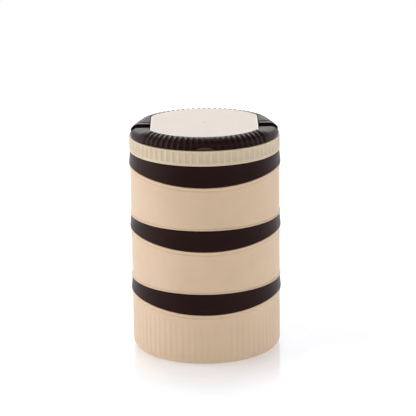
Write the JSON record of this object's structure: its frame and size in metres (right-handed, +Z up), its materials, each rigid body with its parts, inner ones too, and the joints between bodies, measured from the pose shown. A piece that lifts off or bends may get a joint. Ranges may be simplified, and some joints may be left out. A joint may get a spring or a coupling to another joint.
{
  "type": "stacking insulated lunch carrier",
  "caption": "Cylindrical insulated lunch carrier: screw-together stacked bowls with wavy dark bands, a fluted base and lid ring, and folding half-ring carry handles.",
  "frame": {"origin": "centre of the foot, on the surface that the carrier stands on", "axes": "+Z up along the carrier's axis, -Y towards the front handle's thumb notch, +X to the right along the hinge pins"},
  "size_m": [0.141, 0.141, 0.2139],
  "materials": {
    "cream_plastic": "satin",
    "dark_plastic": "satin",
    "steel": "satin",
    "foam": "matte",
    "silicone": "matte"
  },
  "bodies": {
    "base_tier": {"base_shell": "cream_plastic", "base_foam": "foam", "base_bowl": "steel", "base_collar": "dark_plastic"},
    "middle_seal_ring": {"middle_seal": "silicone"},
    "middle_tier": {"middle_plate": "cream_plastic", "middle_shell": "cream_plastic", "middle_foam": "foam", "middle_bowl": "steel", "middle_collar": "dark_plastic"},
    "top_seal_ring": {"top_seal": "silicone"},
    "top_tier": {"top_plate": "cream_plastic", "top_shell": "cream_plastic", "top_foam": "foam", "top_bowl": "steel", "top_collar": "dark_plastic"},
    "lid_seal_ring": {"lid_seal": "silicone"},
    "lid": {"lid_plate": "cream_plastic", "lid_ring": "cream_plastic", "lid_foam": "foam", "lid_frame": "dark_plastic", "lid_disc": "cream_plastic", "pin_front_left": "steel", "pin_front_right": "steel", "pin_rear_left": "steel", "pin_rear_right": "steel"},
    "front_handle": {"handle_front": "dark_plastic"},
    "rear_handle": {"handle_rear": "dark_plastic"}
  },
  "joints": [
    {"name": "middle_rise", "type": "slide", "parent": "base_tier", "child": "middle_seal_ring", "axis": [0, 0, 1], "range_m": [0, 0.016]},
    {"name": "middle_screw", "type": "hinge", "parent": "middle_seal_ring", "child": "middle_tier", "pos_m": [0, 0, 0.0683], "axis": [0, 0, 1], "range_deg": [0, 360]},
    {"name": "top_rise", "type": "slide", "parent": "middle_tier", "child": "top_seal_ring", "axis": [0, 0, 1], "range_m": [0, 0.016]},
    {"name": "top_screw", "type": "hinge", "parent": "top_seal_ring", "child": "top_tier", "pos_m": [0, 0, 0.1286], "axis": [0, 0, 1], "range_deg": [0, 360]},
    {"name": "lid_rise", "type": "slide", "parent": "top_tier", "child": "lid_seal_ring", "axis": [0, 0, 1], "range_m": [0, 0.016]},
    {"name": "lid_screw", "type": "hinge", "parent": "lid_seal_ring", "child": "lid", "pos_m": [0, 0, 0.1889], "axis": [0, 0, 1], "range_deg": [0, 360]},
    {"name": "front_handle_fold", "type": "hinge", "parent": "lid", "child": "front_handle", "pos_m": [0, -0.01, 0.208], "axis": [-1, 0, 0], "range_deg": [0, 94]},
    {"name": "rear_handle_fold", "type": "hinge", "parent": "lid", "child": "rear_handle", "pos_m": [0, 0.01, 0.208], "axis": [1, 0, 0], "range_deg": [0, 94]}
  ],
  "couplings": [
    {"joint": "middle_rise", "follows": "middle_screw", "m_per_rad": 0.0025465},
    {"joint": "top_rise", "follows": "top_screw", "m_per_rad": 0.0025465},
    {"joint": "lid_rise", "follows": "lid_screw", "m_per_rad": 0.0025465}
  ]
}
